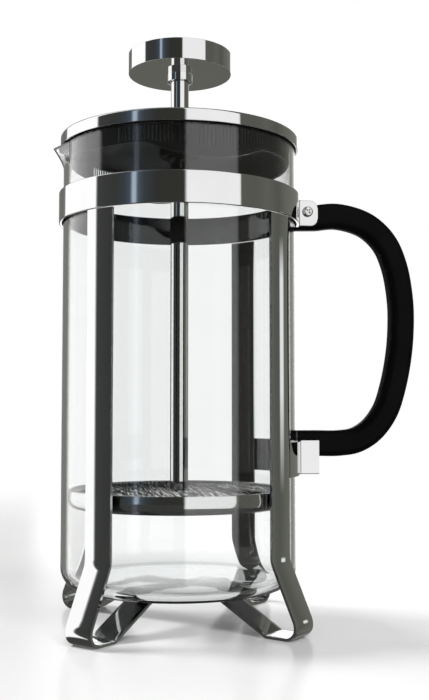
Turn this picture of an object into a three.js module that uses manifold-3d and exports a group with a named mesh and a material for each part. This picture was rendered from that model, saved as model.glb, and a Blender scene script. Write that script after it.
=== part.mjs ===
// French press: glass beaker in a sheet-metal frame, lid with strainer, plunger with filter.
// Millimetres, +Z up, table at z = 0, handle towards +X, pouring lip towards -X.
import * as THREE from 'three';
import { mergeVertices } from 'three/addons/utils/BufferGeometryUtils.js';
import { ConvexGeometry } from 'three/addons/geometries/ConvexGeometry.js';
import Module from 'manifold-3d';

const wasm = await Module();
wasm.setup();

// ---- driving dimensions -------------------------------------------------------------------
const GAP = 0.3; // between pieces that touch
const ROUND_STEPS = 48; // facets round the large turned pieces
const SMALL_STEPS = 24; // facets round the small turned pieces

// glass beaker
const BEAKER_R = 48;
const BEAKER_H = 178.5;
const BEAKER_WALL = 2;
const BEAKER_FLOOR = 2.4;
const BEAKER_CORNER_R = 8.5;
const BEAKER_BASE_Z = 14.5;
const SPOUT_REACH = 4.2; // how far the lip stands out of the beaker
const SPOUT_DROP = 7.5; // height of the lip
const SPOUT_HALF_ANGLE = 16; // degrees of rim either side of the lip
const SPOUT_WALL = 1.5;
const SPOUT_EDGE_H = 1.2; // upright edge at the lip's tip
const SPOUT_SINK = 0.4; // the lip starts this far inside the round wall
const SPOUT_ROOT = 12; // how far the lip's inside runs towards the middle
const SPOUT_BELLY = [0.42, 0.45]; // where its underside bends: shares of its reach and drop

// sheet-metal frame
const FRAME_CLEARANCE = 0.6; // glass to metal
const SHEET_T = 1.2;
const BAND_H = 12.4;
const BAND_BELOW_RIM = 18.3; // glass that shows between band and rim
const LEG_W = 12.5;
const FOOT_SPLAY = 24.7; // degrees off vertical
const FOOT_BEND_Z = 28.5; // where the legs turn outward
const FOOT_BEND_R = 9;
const FOOT_TOP = 6; // flat strip above the bend
const FOOT_OVERLAP = 2; // of the flat strip with the curved leg
const ARM_BEND_R = 3;
const LEG_ANGLE = 45; // degrees from the handle to the nearest legs
const TOE_R = 5.5; // outer radius of the toe
const ARM_SLOPE = 28.6; // degrees above the table
const FOOT_FLAT = 3.2; // how far inside the leg's line the arm leaves the table
const STRAP_H = 14;
const STRAP_Z = 59.5;
const EAR_REACH = 8; // from the frame's outside to the ear's end
const EAR_BEND_R = 1.8; // middle of the sheet
const EAR_CORNER_R = 3.2;
const RIVET_R = 2.5;
const RIVET_HEAD_R = 4.6;
const RIVET_HEAD_T = 1.1;
const RIVET_EDGE = 0.6;

// handle
const HANDLE_W = 9;
const HANDLE_H = 10.8;
const HANDLE_EDGE_R = 3;
const HANDLE_REACH = 46; // middle of the grip, from the frame's outside
const HANDLE_START = 0.6; // from the frame's inside to the arms' ends
const TOP_ARM_DROP = 1.2; // upper arm's middle below the band's
const LOW_ARM_DROP = 1.4; // lower arm's middle below the strap's top edge
// Middle line of the handle: share of the reach, share of the drop from upper to lower arm.
const HANDLE_LINE = [
  [0.174, -0.003],
  [0.391, -0.0126],
  [0.663, 0.0231],
  [0.843, 0.1008],
  [0.943, 0.2101],
  [0.996, 0.36],
  [1, 0.48],
  [0.976, 0.61],
  [0.915, 0.7532],
  [0.835, 0.8613],
  [0.704, 0.9433],
  [0.552, 0.9874],
  [0.391, 1],
  [0.174, 1],
];
const SCREW_REACH = 3.6; // screw's middle from the frame's outside
const SCREW_RISE = 0.6; // screw's middle above the band's
const SCREW_R = 1.4;
const SCREW_HEAD_R = 2.2;
const SCREW_HEAD_T = 1.1;
const SCREW_EDGE = 0.6;
const SCREW_PROUD = 0.5; // beyond its nut
const RECESS = [2.6, 0.6, 0.6]; // each arm of the cross: length, width, depth
const NUT_FLATS = 5.5;
const NUT_T = 2.4;

// lid
const LID_OVERHANG = 1.3; // lid's rim beyond the glass
const LID_GAP = 0.4; // rim of the cover above the glass
const LID_EDGE = 0.7;
const LID_CORNER = 0.5; // extra metal inside the corner of rim and top
const LID_SHEET = 0.8;
const LID_RIM_H = 4.8;
const LID_DOME = 2.2; // rise from the rim to the middle
const LID_TURN = 6.8; // degrees the strainer is turned from square at rest
const STRAINER_T = 1.5;
const STRAINER_CLEARANCE = 0.4;
const STRAINER_INSET = 0.1; // edge of the flange inside the glass's outside
const SKIRT_DEPTH = 6.8;
const SKIRT_LOBE = 5.7; // how much lower the two lobes reach
const LOBE_START = 0.866; // share of the skirt's radius where a lobe begins
const LOBE_CURVE = 1.05; // power of the lobe's edge
const SLOTS_PER_SIDE = 47;
const SLOT_PITCH = 1.9; // degrees
const SLOT_W = 0.8;
const SLOT_TOP_MARGIN = 0.8;
const SLOT_H = 5.2; // at the ends of a row of slots
const SLOT_EXTRA_H = 3; // longer at the middle of the row, over the lobe
const BUSH_WALL = 1.15;
const BUSH_FLANGE = 2.4; // beyond the bush
const BUSH_FLANGE_T = 1.2;
const BUSH_EDGE = 0.5;
const BUSH_PROUD = 0.8; // below its nut
const BUSH_NUT_WALL = 3;
const BUSH_NUT_T = 1.7;

// plunger
const ROD_R = 3.75;
const THREAD_SHARE = 0.64; // threaded end's radius as a share of the rod's
const RUNNING_GAP = 0.3;
const KNOB_R = 21.5;
const KNOB_T = 8.5;
const KNOB_EDGE_R = 0.7;
const KNOB_RISE = 28.3; // underside of the knob above the lid's rim, at rest
const KNOB_BORE_DEPTH = 5;
const KNOB_NUT_WALL = 1.15;
const KNOB_NUT_T = 2.8;

// filter
const FILTER_Z = 46.9; // underside of the pan
const FILTER_H = 7.3;
const FILTER_CLEARANCE = 0.5; // pan to glass
const PAN_SHEET = 0.8;
const PAN_CORNER_R = 2.6;
const PLATE_T = 0.5;
const MESH_T = 0.4;
const SPRING_COIL_R = 1.6;
const SPRING_WIRE_R = 0.35;
const SPRING_COILS = 44;
const HUB_R = 7;
const FILTER_NUT_WALL = 1.3;
const FILTER_NUT_T = 2.6;
const ROD_PROUD = 0.6; // below the filter's nut
const MESH_DROP = 0.8; // mesh below the pan's rim
const PLATE_STEP = 0.6; // slope from the plate's middle down to its rim
// Rings of holes: count, radius and distance from the axis as shares of the pan's radius.
const PAN_HOLES = [[8, 0.12, 0.73], [4, 0.1, 0.38]];
const PLATE_HOLES = [8, 0.1, 0.56];

// ---- sizes that follow from them ----------------------------------------------------------
const RAD = Math.PI / 180;
const FRAME_IN = BEAKER_R + FRAME_CLEARANCE;
const FRAME_OUT = FRAME_IN + SHEET_T;
const FRAME_MID = FRAME_IN + SHEET_T / 2;
const BORE_R = BEAKER_R - BEAKER_WALL;
const RIM_Z = BEAKER_BASE_Z + BEAKER_H;
const BAND_TOP_Z = RIM_Z - BAND_BELOW_RIM;
const BAND_Z = BAND_TOP_Z - BAND_H;
const ARM_START_R = FRAME_MID - FOOT_FLAT;
const LID_R = BEAKER_R + LID_OVERHANG;
const EAR_Y = HANDLE_W / 2 + GAP + SHEET_T / 2; // middle of an ear's sheet
const EAR_END_X = FRAME_OUT + EAR_REACH;
const SPOUT_TIP = BEAKER_R + SPOUT_REACH;
const GRIP_X = FRAME_OUT + HANDLE_REACH;
const BAND_MID_Z = BAND_Z + BAND_H / 2;
const TOP_ARM_Z = BAND_MID_Z - TOP_ARM_DROP;
const LOW_ARM_Z = STRAP_Z + STRAP_H - LOW_ARM_DROP;
const SCREW_X = FRAME_OUT + SCREW_REACH;
const SCREW_Z = BAND_MID_Z + SCREW_RISE;
const LID_Z = RIM_Z + LID_GAP; // lower edge of the lid's rim
const LID_TOP_Z = LID_Z + LID_RIM_H;
const STRAINER_Z = RIM_Z + GAP; // underside of the strainer's flange
const SKIRT_R = BORE_R - STRAINER_CLEARANCE;
const LID_MID_Z = LID_TOP_Z + LID_DOME; // top of the cover at the bush
const KNOB_Z = LID_TOP_Z + KNOB_RISE;
const ROD_HOLE_R = ROD_R + RUNNING_GAP;
const ROD_THREAD_R = ROD_R * THREAD_SHARE;
const THREAD_HOLE_R = ROD_THREAD_R + GAP;
const BUSH_R = ROD_HOLE_R + BUSH_WALL;
const BUSH_FLANGE_R = BUSH_R + BUSH_FLANGE;
const BUSH_NUT_R = BUSH_R + BUSH_NUT_WALL;
const PAN_R = BORE_R - FILTER_CLEARANCE;
const FILTER_TOP = FILTER_Z + FILTER_H;
const SPRING_MID_R = PAN_R - PAN_SHEET - GAP - SPRING_COIL_R;
const PLATE_LOW_Z = FILTER_TOP - 2 * SPRING_COIL_R - GAP - PLATE_T;
const PLATE_TOP_Z = FILTER_TOP - MESH_DROP - MESH_T - GAP;
const MESH_R = SPRING_MID_R - SPRING_COIL_R - GAP;
const SHOULDER_Z = PLATE_TOP_Z + GAP + MESH_T + GAP; // where the rod steps down to its thread
const AXIS_X = -(GRIP_X + HANDLE_H / 2 - SPOUT_TIP) / 2; // puts the middle of the length at x = 0

// ---- geometry helpers ---------------------------------------------------------------------
function toSolid(geometry) {
  const bare = geometry.clone();
  bare.deleteAttribute('normal');
  bare.deleteAttribute('uv');
  const g = mergeVertices(bare, 1e-5);
  return new wasm.Manifold(
    new wasm.Mesh({
      numProp: 3,
      vertProperties: new Float32Array(g.attributes.position.array),
      triVerts: new Uint32Array(g.index.array),
    }),
  );
}

function toGeometry(solid) {
  const mesh = solid.getMesh();
  const g = new THREE.BufferGeometry();
  g.setAttribute('position', new THREE.BufferAttribute(new Float32Array(mesh.vertProperties), 3));
  g.setIndex(new THREE.BufferAttribute(new Uint32Array(mesh.triVerts), 1));
  g.computeVertexNormals();
  return g;
}

// Turned piece about Z. The profile runs from the axis back to the axis, or closes on itself.
function turned(profile, steps) {
  const pts = profile.map(([r, z]) => new THREE.Vector2(r, z));
  return new THREE.LatheGeometry(pts, steps).rotateX(Math.PI / 2);
}

function turnedSolid(profile, steps) {
  const solid = toSolid(turned(profile, steps));
  return solid.volume() < 0 ? toSolid(turned([...profile].reverse(), steps)) : solid;
}

function ringProfile(rIn, rOut, z0, z1) {
  return [[rIn, z0], [rOut, z0], [rOut, z1], [rIn, z1], [rIn, z0]];
}

function prism(points, z0, z1) {
  const shape = new THREE.Shape(points.map(([x, y]) => new THREE.Vector2(x, y)));
  return new THREE.ExtrudeGeometry(shape, { depth: z1 - z0, bevelEnabled: false }).translate(0, 0, z0);
}

// The same outline read as (x, z), and extruded along Y about y = 0.
function sidePrism(points, width) {
  return prism(points, -width / 2, width / 2).rotateX(Math.PI / 2);
}

function cylinder(r, z0, z1, steps = SMALL_STEPS) {
  return new THREE.CylinderGeometry(r, r, z1 - z0, steps).rotateX(Math.PI / 2).translate(0, 0, (z0 + z1) / 2);
}

// Hexagonal nut with its bore, flats wide apart, along Z.
function hexNut(flats, z0, z1, boreR) {
  const body = toSolid(cylinder(flats / Math.sqrt(3), z0, z1, 6));
  return body.subtract(toSolid(cylinder(boreR, z0 - 1, z1 + 1)));
}

function arcPoints(cx, cy, r, from, to, steps) {
  const out = [];
  for (let i = 0; i <= steps; i += 1) {
    const a = (from + ((to - from) * i) / steps) * RAD;
    out.push([cx + r * Math.cos(a), cy + r * Math.sin(a)]);
  }
  return out;
}

// Rounds each inner corner of an open path: corners is [[x, y, radius], ...].
function roundedPath(corners, steps) {
  const out = [[corners[0][0], corners[0][1]]];
  for (let i = 1; i < corners.length - 1; i += 1) {
    const p = new THREE.Vector2(corners[i][0], corners[i][1]);
    const a = new THREE.Vector2(corners[i - 1][0], corners[i - 1][1]).sub(p).normalize();
    const b = new THREE.Vector2(corners[i + 1][0], corners[i + 1][1]).sub(p).normalize();
    const half = Math.acos(THREE.MathUtils.clamp(a.dot(b), -1, 1)) / 2;
    const radius = corners[i][2];
    const centre = a.clone().add(b).normalize().multiplyScalar(radius / Math.sin(half)).add(p);
    const start = a.clone().multiplyScalar(radius / Math.tan(half)).add(p).sub(centre);
    const end = b.clone().multiplyScalar(radius / Math.tan(half)).add(p).sub(centre);
    const from = Math.atan2(start.y, start.x);
    let turn = Math.atan2(end.y, end.x) - from;
    turn -= 2 * Math.PI * Math.round(turn / (2 * Math.PI));
    for (let k = 0; k <= steps; k += 1) {
      const angle = from + (turn * k) / steps;
      out.push([centre.x + radius * Math.cos(angle), centre.y + radius * Math.sin(angle)]);
    }
  }
  const last = corners[corners.length - 1];
  out.push([last[0], last[1]]);
  return out;
}

// Closed outline of a strip of sheet whose middle follows the path.
function stripOutline(path, thickness) {
  const left = [];
  const right = [];
  path.forEach(([x, y], i) => {
    const before = path[Math.max(i - 1, 0)];
    const after = path[Math.min(i + 1, path.length - 1)];
    const d1 = new THREE.Vector2(x - before[0], y - before[1]).normalize();
    const d2 = new THREE.Vector2(after[0] - x, after[1] - y).normalize();
    const along = d1.clone().add(d2).normalize();
    const stretch = i === 0 || i === path.length - 1 ? 1 : along.dot(d2);
    const reach = thickness / 2 / Math.max(stretch, 0.3);
    left.push([x - along.y * reach, y + along.x * reach]);
    right.push([x + along.y * reach, y - along.x * reach]);
  });
  return [...left, ...right.reverse()];
}

// ---- frame --------------------------------------------------------------------------------
// Path from a point round the ring, seen from above, to the end of the ear on the +Y side.
function earPath(fromAngle, steps) {
  const bendX = Math.sqrt(FRAME_MID ** 2 - (EAR_Y + EAR_BEND_R) ** 2);
  const endAngle = Math.atan2(EAR_Y + EAR_BEND_R, bendX) / RAD;
  const ring = arcPoints(0, 0, FRAME_MID, fromAngle, endAngle, steps);
  const bend = arcPoints(bendX + EAR_BEND_R, EAR_Y + EAR_BEND_R, EAR_BEND_R, 180, 270, 4);
  return [...ring, ...bend.slice(1), [EAR_END_X, EAR_Y]];
}

function frameBand() {
  const half = [...arcPoints(0, 0, FRAME_MID, 180, 90, 12).slice(0, -1), ...earPath(90, 12)];
  const other = half.slice(1).map(([x, y]) => [x, -y]).reverse();
  const ring = toSolid(prism(stripOutline([...other, ...half], SHEET_T), BAND_Z, BAND_TOP_Z));
  const corner = EAR_CORNER_R;
  const outline = [
    [-2 * FRAME_OUT, BAND_Z - 1],
    [FRAME_OUT, BAND_Z - 1],
    [FRAME_OUT, BAND_Z],
    ...arcPoints(EAR_END_X - corner, BAND_Z + corner, corner, -90, 0, 5),
    ...arcPoints(EAR_END_X - corner, BAND_TOP_Z - corner, corner, 0, 90, 5),
    [FRAME_OUT, BAND_TOP_Z],
    [FRAME_OUT, BAND_TOP_Z + 1],
    [-2 * FRAME_OUT, BAND_TOP_Z + 1],
  ];
  const keep = toSolid(sidePrism(outline, 4 * FRAME_OUT));
  return ring.intersect(keep).subtract(crossHole(SCREW_R + GAP, SCREW_X, SCREW_Z));
}

function crossHole(r, x, z) {
  const reach = EAR_Y + SHEET_T;
  return toSolid(cylinder(r, -reach, reach, 20).rotateX(Math.PI / 2).translate(x, 0, z));
}

function lowerStrap(side) {
  const legEdge = LEG_ANGLE - (LEG_W / 2 + GAP) / FRAME_MID / RAD;
  const path = earPath(legEdge, 10).map(([x, y]) => [x, side * y]);
  return toSolid(prism(stripOutline(path, SHEET_T), STRAP_Z, STRAP_Z + STRAP_H));
}

// One strip runs down a leg, under the beaker and up the opposite leg.
function legStrip(direction, crossingZ) {
  const splay = Math.tan(FOOT_SPLAY * RAD);
  const rise = Math.tan(ARM_SLOPE * RAD);
  const half = SHEET_T / 2;
  const armTopR = ARM_START_R - (crossingZ - half) / rise;
  const toeX = FRAME_MID + (FOOT_BEND_Z - half) * splay;
  const side = [
    [FRAME_MID, FOOT_BEND_Z + FOOT_TOP, 0],
    [FRAME_MID, FOOT_BEND_Z, FOOT_BEND_R],
    [toeX, half, TOE_R - half],
    [ARM_START_R, half, ARM_BEND_R],
    [armTopR, crossingZ, ARM_BEND_R],
  ];
  const mirrored = side.map(([x, z, r]) => [-x, z, r]).reverse();
  const path = roundedPath([...side, ...mirrored], 6);
  const strip = toSolid(sidePrism(stripOutline(path, SHEET_T), LEG_W));
  const halfAngle = LEG_W / 2 / FRAME_MID / RAD;
  const section = [
    ...arcPoints(0, 0, FRAME_OUT, -halfAngle, halfAngle, 6),
    ...arcPoints(0, 0, FRAME_IN, halfAngle, -halfAngle, 6),
  ];
  const leg = toSolid(prism(section, FOOT_BEND_Z + FOOT_TOP - FOOT_OVERLAP, BAND_Z - GAP));
  const hole = toSolid(cylinder(RIVET_R + GAP, crossingZ - SHEET_T, crossingZ + SHEET_T));
  return strip.add(leg).add(leg.rotate(0, 0, 180)).subtract(hole).rotate(0, 0, direction);
}

const UPPER_CROSSING_Z = BEAKER_BASE_Z - GAP - SHEET_T / 2;
const LOWER_CROSSING_Z = UPPER_CROSSING_Z - SHEET_T - GAP;

function baseRivet() {
  const headTop = LOWER_CROSSING_Z - SHEET_T / 2 - GAP;
  const top = UPPER_CROSSING_Z + SHEET_T / 2;
  return turned(
    [
      [0, headTop - RIVET_HEAD_T],
      [RIVET_HEAD_R - RIVET_EDGE, headTop - RIVET_HEAD_T],
      [RIVET_HEAD_R, headTop - RIVET_HEAD_T + RIVET_EDGE],
      [RIVET_HEAD_R, headTop],
      [RIVET_R, headTop],
      [RIVET_R, top],
      [0, top],
    ],
    SMALL_STEPS,
  );
}

// ---- handle -------------------------------------------------------------------------------
function handle() {
  const start = FRAME_IN + HANDLE_START;
  const span = TOP_ARM_Z - LOW_ARM_Z;
  const line = HANDLE_LINE.map(
    ([out, down]) => new THREE.Vector3(FRAME_OUT + HANDLE_REACH * out, TOP_ARM_Z - span * down, 0),
  );
  const middle = new THREE.CatmullRomCurve3(line, false, 'centripetal').getPoints(30);
  const path = [[start, TOP_ARM_Z], ...middle.map((p) => [p.x, p.y]), [start, LOW_ARM_Z]];
  const shape = new THREE.Shape(stripOutline(path, HANDLE_H).map(([x, z]) => new THREE.Vector2(x, z)));
  const body = new THREE.ExtrudeGeometry(shape, {
    depth: HANDLE_W - 2 * HANDLE_EDGE_R,
    bevelEnabled: true,
    bevelSize: HANDLE_EDGE_R,
    bevelOffset: -HANDLE_EDGE_R,
    bevelThickness: HANDLE_EDGE_R,
    bevelSegments: 2,
  });
  body.translate(0, 0, -HANDLE_W / 2 + HANDLE_EDGE_R).rotateX(Math.PI / 2);
  return toSolid(body).subtract(crossHole(SCREW_R + GAP, SCREW_X, SCREW_Z));
}

// Head on the -Y side with a cross recess, shank through both ears, end beyond the nut.
function handleScrew() {
  const earFace = EAR_Y + SHEET_T / 2 + GAP;
  const end = earFace + NUT_T + SCREW_PROUD;
  const body = toSolid(
    turned(
      [
        [0, -earFace - SCREW_HEAD_T],
        [SCREW_HEAD_R - SCREW_EDGE, -earFace - SCREW_HEAD_T],
        [SCREW_HEAD_R, -earFace - SCREW_HEAD_T + SCREW_EDGE],
        [SCREW_HEAD_R, -earFace],
        [SCREW_R, -earFace],
        [SCREW_R, end],
        [0, end],
      ],
      20,
    ),
  );
  const [long, wide, deep] = RECESS;
  const slot = new THREE.BoxGeometry(long, wide, 2 * deep).translate(0, 0, -earFace - SCREW_HEAD_T);
  const cross = toSolid(slot).add(toSolid(slot).rotate(0, 0, 90));
  return body.subtract(cross).rotate(-90, 0, 0).translate([SCREW_X, 0, SCREW_Z]);
}

function handleNut() {
  const earFace = EAR_Y + SHEET_T / 2 + GAP;
  return hexNut(NUT_FLATS, earFace, earFace + NUT_T, SCREW_R + GAP)
    .rotate(-90, 0, 0)
    .translate([SCREW_X, 0, SCREW_Z]);
}

// ---- beaker -------------------------------------------------------------------------------
// Lip of the beaker: a pinched wedge that grows out of the rim, inset by a wall for its inside.
function spoutWedge(inset, top) {
  const angle = SPOUT_HALF_ANGLE * RAD;
  const r = BEAKER_R - inset - SPOUT_SINK;
  const drop = SPOUT_DROP - inset;
  const tip = SPOUT_TIP - inset;
  const [bellyOut, bellyDown] = SPOUT_BELLY;
  const points = [
    [-tip, 0, RIM_Z],
    [-tip, 0, RIM_Z - SPOUT_EDGE_H],
    [-r - SPOUT_REACH * bellyOut, 0, RIM_Z - drop * bellyDown],
    [-r, 0, RIM_Z - drop],
    [-r * Math.cos(angle), r * Math.sin(angle), RIM_Z],
    [-r * Math.cos(angle), -r * Math.sin(angle), RIM_Z],
    [-r + SPOUT_ROOT, 0, RIM_Z - drop],
    [-r + SPOUT_ROOT, 0, RIM_Z],
  ];
  const raised = top > RIM_Z ? points.filter((p) => p[2] === RIM_Z).map(([x, y]) => [x, y, top]) : [];
  return toSolid(new ConvexGeometry([...points, ...raised].map((p) => new THREE.Vector3(...p))));
}

function cupProfile(r, corner, z0, z1) {
  const round = arcPoints(r - corner, z0 + corner, corner, -90, 0, 5);
  return [[0, z0], ...round, [r, z1], [0, z1]];
}

function glassBeaker() {
  const outer = turnedSolid(cupProfile(BEAKER_R, BEAKER_CORNER_R, BEAKER_BASE_Z, RIM_Z), ROUND_STEPS);
  const innerCorner = BEAKER_CORNER_R - BEAKER_WALL;
  const inside = cupProfile(BORE_R, innerCorner, BEAKER_BASE_Z + BEAKER_FLOOR, RIM_Z + 5);
  const body = outer.add(spoutWedge(0, RIM_Z));
  return body.subtract(turnedSolid(inside, ROUND_STEPS)).subtract(spoutWedge(SPOUT_WALL, RIM_Z + 5));
}

// ---- lid ----------------------------------------------------------------------------------
function lidCover() {
  const inner = BUSH_R + GAP;
  const t = LID_SHEET;
  const dome = (r) => LID_TOP_Z + LID_DOME * (1 - (r / LID_R) ** 2);
  const over = [0.93, 0.7, 0.4].map((k) => LID_R * k);
  return turned(
    [
      [LID_R - t, LID_Z],
      [LID_R, LID_Z],
      [LID_R, LID_TOP_Z - LID_EDGE],
      [LID_R - LID_EDGE, LID_TOP_Z],
      ...over.map((r) => [r, dome(r)]),
      [inner, LID_MID_Z],
      [inner, LID_MID_Z - t],
      ...over.reverse().map((r) => [r, dome(r) - t]),
      [LID_R - t, LID_TOP_Z - t - LID_CORNER],
      [LID_R - t, LID_Z],
    ],
    ROUND_STEPS,
  );
}

function strainerCutter() {
  const base = STRAINER_Z - SKIRT_DEPTH;
  const low = base - SKIRT_LOBE;
  const floor = low - 5;
  const edge = [];
  for (let i = 0; i <= 6; i += 1) {
    const k = i / 6;
    edge.push([SKIRT_R * (LOBE_START + (1 - LOBE_START) * k), base - SKIRT_LOBE * k ** LOBE_CURVE]);
  }
  const right = [...edge, [SKIRT_R + 2, low - 0.2], [SKIRT_R + 2, floor]];
  const left = right.map(([u, z]) => [-u, z]).reverse();
  return toSolid(sidePrism([...left, ...right], 4 * SKIRT_R)).rotate(0, 0, 90);
}

// Share of a lobe's full depth, that many degrees from the middle of its row of slots.
function lobeShare(degrees) {
  const k = (Math.cos(degrees * RAD) - LOBE_START) / (1 - LOBE_START);
  return Math.max(k, 0) ** LOBE_CURVE;
}

// The sides of all the slots in a row are parallel, as a mould that pulls out sideways leaves them.
function strainerSlots() {
  const top = STRAINER_Z - SLOT_TOP_MARGIN;
  const middle = (SLOTS_PER_SIDE - 1) / 2;
  const slots = [];
  for (let side = 0; side < 2; side += 1) {
    for (let i = 0; i < SLOTS_PER_SIDE; i += 1) {
      const degrees = (i - middle) * SLOT_PITCH;
      const tall = SLOT_H + SLOT_EXTRA_H * lobeShare(degrees);
      const across = SKIRT_R * Math.sin(degrees * RAD);
      const out = Math.sqrt((SKIRT_R - STRAINER_T / 2) ** 2 - across ** 2);
      const box = new THREE.BoxGeometry(4 * STRAINER_T, SLOT_W * Math.cos(degrees * RAD), tall);
      box.translate(out, across, top - tall / 2);
      slots.push(toSolid(box).rotate(0, 0, 90 + 180 * side));
    }
  }
  return wasm.Manifold.union(slots);
}

function lidStrainer() {
  const z = STRAINER_Z;
  const t = STRAINER_T;
  const flangeR = BEAKER_R - STRAINER_INSET;
  const lipTop = LID_TOP_Z - LID_SHEET - LID_CORNER - GAP;
  const bottom = z - SKIRT_DEPTH - SKIRT_LOBE;
  const body = turnedSolid(
    [
      [SKIRT_R - t, bottom],
      [SKIRT_R, bottom],
      [SKIRT_R, z],
      [flangeR, z],
      [flangeR, lipTop],
      [flangeR - t, lipTop],
      [flangeR - t, z + t],
      [BUSH_R + GAP, z + t],
      [BUSH_R + GAP, z],
      [SKIRT_R - t, z],
      [SKIRT_R - t, bottom],
    ],
    ROUND_STEPS,
  );
  return body.subtract(strainerCutter()).subtract(strainerSlots());
}

function lidBush() {
  const under = STRAINER_Z - GAP - BUSH_NUT_T - BUSH_PROUD;
  const seat = LID_MID_Z + GAP;
  const top = seat + BUSH_FLANGE_T;
  return turned(
    [
      [ROD_HOLE_R, under],
      [BUSH_R, under],
      [BUSH_R, seat],
      [BUSH_FLANGE_R, seat],
      [BUSH_FLANGE_R, top - BUSH_EDGE],
      [BUSH_FLANGE_R - BUSH_EDGE, top],
      [ROD_HOLE_R, top],
      [ROD_HOLE_R, under],
    ],
    SMALL_STEPS,
  );
}

function lidBushNut() {
  const top = STRAINER_Z - GAP;
  return turned(ringProfile(BUSH_R + GAP, BUSH_NUT_R, top - BUSH_NUT_T, top), SMALL_STEPS);
}

// ---- plunger ------------------------------------------------------------------------------
function plungerRod() {
  const end = FILTER_Z - GAP - FILTER_NUT_T - ROD_PROUD;
  return turned(
    [
      [0, end],
      [ROD_THREAD_R, end],
      [ROD_THREAD_R, SHOULDER_Z],
      [ROD_R, SHOULDER_Z],
      [ROD_R, KNOB_Z + KNOB_BORE_DEPTH - GAP],
      [0, KNOB_Z + KNOB_BORE_DEPTH - GAP],
    ],
    SMALL_STEPS,
  );
}

function knob() {
  const top = KNOB_Z + KNOB_T;
  const e = KNOB_EDGE_R;
  return turned(
    [
      [0, KNOB_Z + KNOB_BORE_DEPTH],
      [ROD_HOLE_R, KNOB_Z + KNOB_BORE_DEPTH],
      [ROD_HOLE_R, KNOB_Z],
      [KNOB_R - e, KNOB_Z],
      [KNOB_R, KNOB_Z + e],
      [KNOB_R, top - e],
      [KNOB_R - e, top],
      [0, top],
    ],
    56,
  );
}

function knobNut() {
  const top = KNOB_Z - GAP;
  return turned(ringProfile(ROD_HOLE_R, ROD_HOLE_R + KNOB_NUT_WALL, top - KNOB_NUT_T, top), SMALL_STEPS);
}

// ---- filter -------------------------------------------------------------------------------
function holeRing([count, holeShare, circleShare], z0, z1) {
  const holes = [];
  for (let i = 0; i < count; i += 1) {
    const hole = cylinder(PAN_R * holeShare, z0, z1, 10).translate(PAN_R * circleShare, 0, 0);
    holes.push(toSolid(hole).rotate(0, 0, (360 * i) / count));
  }
  return wasm.Manifold.union(holes);
}

function filterPan() {
  const t = PAN_SHEET;
  const c = PAN_CORNER_R;
  const z = FILTER_Z;
  const outer = arcPoints(PAN_R - c, z + c, c, -90, 0, 3);
  const inner = arcPoints(PAN_R - c, z + c, c - t, 0, -90, 3);
  const bore = THREAD_HOLE_R;
  const body = turnedSolid(
    [[bore, z], ...outer, [PAN_R, FILTER_TOP], [PAN_R - t, FILTER_TOP], ...inner, [bore, z + t], [bore, z]],
    ROUND_STEPS,
  );
  const holes = PAN_HOLES.map((ring) => holeRing(ring, z - 1, z + t + 1));
  return body.subtract(wasm.Manifold.union(holes));
}

function filterPlate() {
  const low = PLATE_LOW_Z;
  const high = PLATE_TOP_Z - PLATE_T;
  const outR = PAN_R - PAN_SHEET - GAP;
  const stepR = MESH_R;
  const bore = THREAD_HOLE_R;
  const body = turnedSolid(
    [
      [bore, high],
      [stepR - PLATE_T - PLATE_STEP, high],
      [stepR - PLATE_T, low],
      [outR, low],
      [outR, low + PLATE_T],
      [stepR, low + PLATE_T],
      [stepR - PLATE_STEP, high + PLATE_T],
      [bore, high + PLATE_T],
      [bore, high],
    ],
    ROUND_STEPS,
  );
  return body.subtract(holeRing(PLATE_HOLES, high - 1, high + 2));
}

function filterMesh() {
  const z = PLATE_TOP_Z + GAP;
  return turned(ringProfile(THREAD_HOLE_R, MESH_R, z, z + MESH_T), ROUND_STEPS);
}

// Coil laid in a ring inside the pan's rim. Its two ends stop just short of each other.
function filterSpring() {
  const mid = FILTER_TOP - SPRING_COIL_R;
  const winding = SPRING_COIL_R - SPRING_WIRE_R;
  const perCoil = 6;
  const steps = SPRING_COILS * perCoil;
  const points = [];
  for (let i = 0; i < steps; i += 1) {
    const a = (2 * Math.PI * i) / steps;
    const b = (2 * Math.PI * i) / perCoil;
    const r = SPRING_MID_R + winding * Math.cos(b);
    points.push(new THREE.Vector3(r * Math.cos(a), r * Math.sin(a), mid + winding * Math.sin(b)));
  }
  const path = new THREE.CurvePath();
  points.slice(1).forEach((p, i) => path.add(new THREE.LineCurve3(points[i], p)));
  const wire = new THREE.Shape(arcPoints(0, 0, SPRING_WIRE_R, 0, 270, 3).map((p) => new THREE.Vector2(...p)));
  return new THREE.ExtrudeGeometry(wire, { steps: steps - 1, extrudePath: path, bevelEnabled: false });
}

function filterHub() {
  const z0 = FILTER_Z + PAN_SHEET + GAP;
  const z1 = PLATE_TOP_Z - PLATE_T - GAP;
  return turned(ringProfile(THREAD_HOLE_R, HUB_R, z0, z1), SMALL_STEPS);
}

function filterNut() {
  const top = FILTER_Z - GAP;
  return hexNut(2 * (THREAD_HOLE_R + FILTER_NUT_WALL), top - FILTER_NUT_T, top, THREAD_HOLE_R);
}

// ---- assembly -----------------------------------------------------------------------------
const press = new THREE.Group();
press.name = 'french_press';
press.position.x = AXIS_X;

function material(color, roughness, metalness, extra = {}) {
  return new THREE.MeshStandardMaterial({ color, roughness, metalness, ...extra });
}

const chrome = () => material(0x9a9c9c, 0.12, 1);
const steel = () => material(0x8c8e8e, 0.3, 1);
const black = () => material(0x151515, 0.42, 0);
const blackGloss = () => material(0x101010, 0.2, 0);
const glass = () => material(0xeef2f2, 0.03, 0, { transparent: true, opacity: 0.35 });

function add(name, shape, finish, turn = 0) {
  const geometry = shape.isBufferGeometry ? shape : toGeometry(shape);
  const mesh = new THREE.Mesh(geometry, finish);
  mesh.name = name;
  mesh.rotation.z = turn * RAD;
  press.add(mesh);
}

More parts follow.
